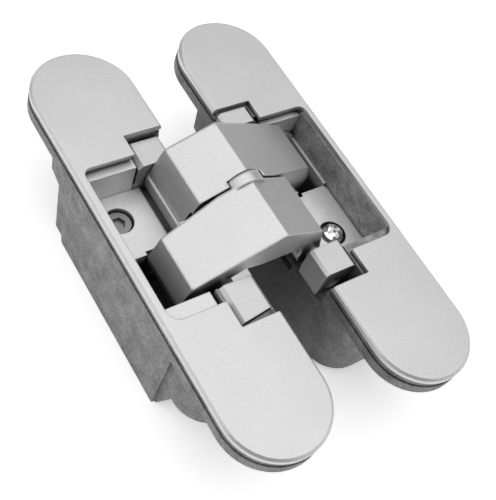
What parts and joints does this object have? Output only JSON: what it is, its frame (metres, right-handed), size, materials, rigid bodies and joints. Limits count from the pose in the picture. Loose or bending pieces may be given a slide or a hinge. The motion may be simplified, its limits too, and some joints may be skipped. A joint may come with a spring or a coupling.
{
  "type": "concealed door hinge",
  "caption": "Concealed door hinge with two round-ended bodies let into door and frame, joined by crossed arms that fold into their pockets.",
  "frame": {"origin": "middle of the gap between the two bodies, middle of the covers' length, on the covers' top faces, with the hinge open flat", "axes": "+X from the left body to the right body, +Y along the covers, +Z out of the covers"},
  "size_m": [0.0672, 0.1124, 0.0366],
  "materials": {
    "satin_cover": "satin",
    "satin_arm": "satin",
    "satin_insert": "satin",
    "cast_zinc": "rough cast",
    "bright_screw": "bright",
    "dark_screw": "satin",
    "steel_pin": "ground",
    "polymer": "matt"
  },
  "bodies": {
    "frame_side": {"body_left": "cast_zinc", "cover_left": "satin_cover", "insert_left": "satin_insert", "bearing_near_left": "satin_insert", "bearing_far_left": "satin_insert", "pivot_pin_left": "steel_pin", "clamp_screw_left": "dark_screw"},
    "upper_arm": {"arm_upper": "satin_arm", "guide_pin_right": "steel_pin"},
    "lower_arm": {"arm_lower": "satin_arm", "centre_pin": "steel_pin", "thrust_washer": "polymer", "guide_pin_left": "steel_pin"},
    "door_side": {"body_right": "cast_zinc", "cover_right": "satin_cover", "insert_right": "satin_insert", "bearing_near_right": "satin_insert", "bearing_far_right": "satin_insert", "pivot_pin_right": "steel_pin", "clamp_screw_right": "bright_screw"}
  },
  "joints": [
    {"name": "left_pivot", "type": "hinge", "parent": "frame_side", "child": "upper_arm", "pos_m": [-0.0126, 0, -0.0065], "axis": [0, -1, 0], "range_deg": [0, 108.21]},
    {"name": "centre_pivot", "type": "hinge", "parent": "upper_arm", "child": "lower_arm", "pos_m": [0, 0, 0.003], "axis": [0, -1, 0], "range_deg": [-36.42, 0]},
    {"name": "right_pivot", "type": "hinge", "parent": "lower_arm", "child": "door_side", "pos_m": [0.0126, 0, -0.0065], "axis": [0, -1, 0], "range_deg": [0, 108.21]}
  ],
  "couplings": [
    {"joint": "centre_pivot", "follows": "left_pivot", "ratio": -0.33658},
    {"joint": "right_pivot", "follows": "left_pivot", "ratio": 1}
  ]
}
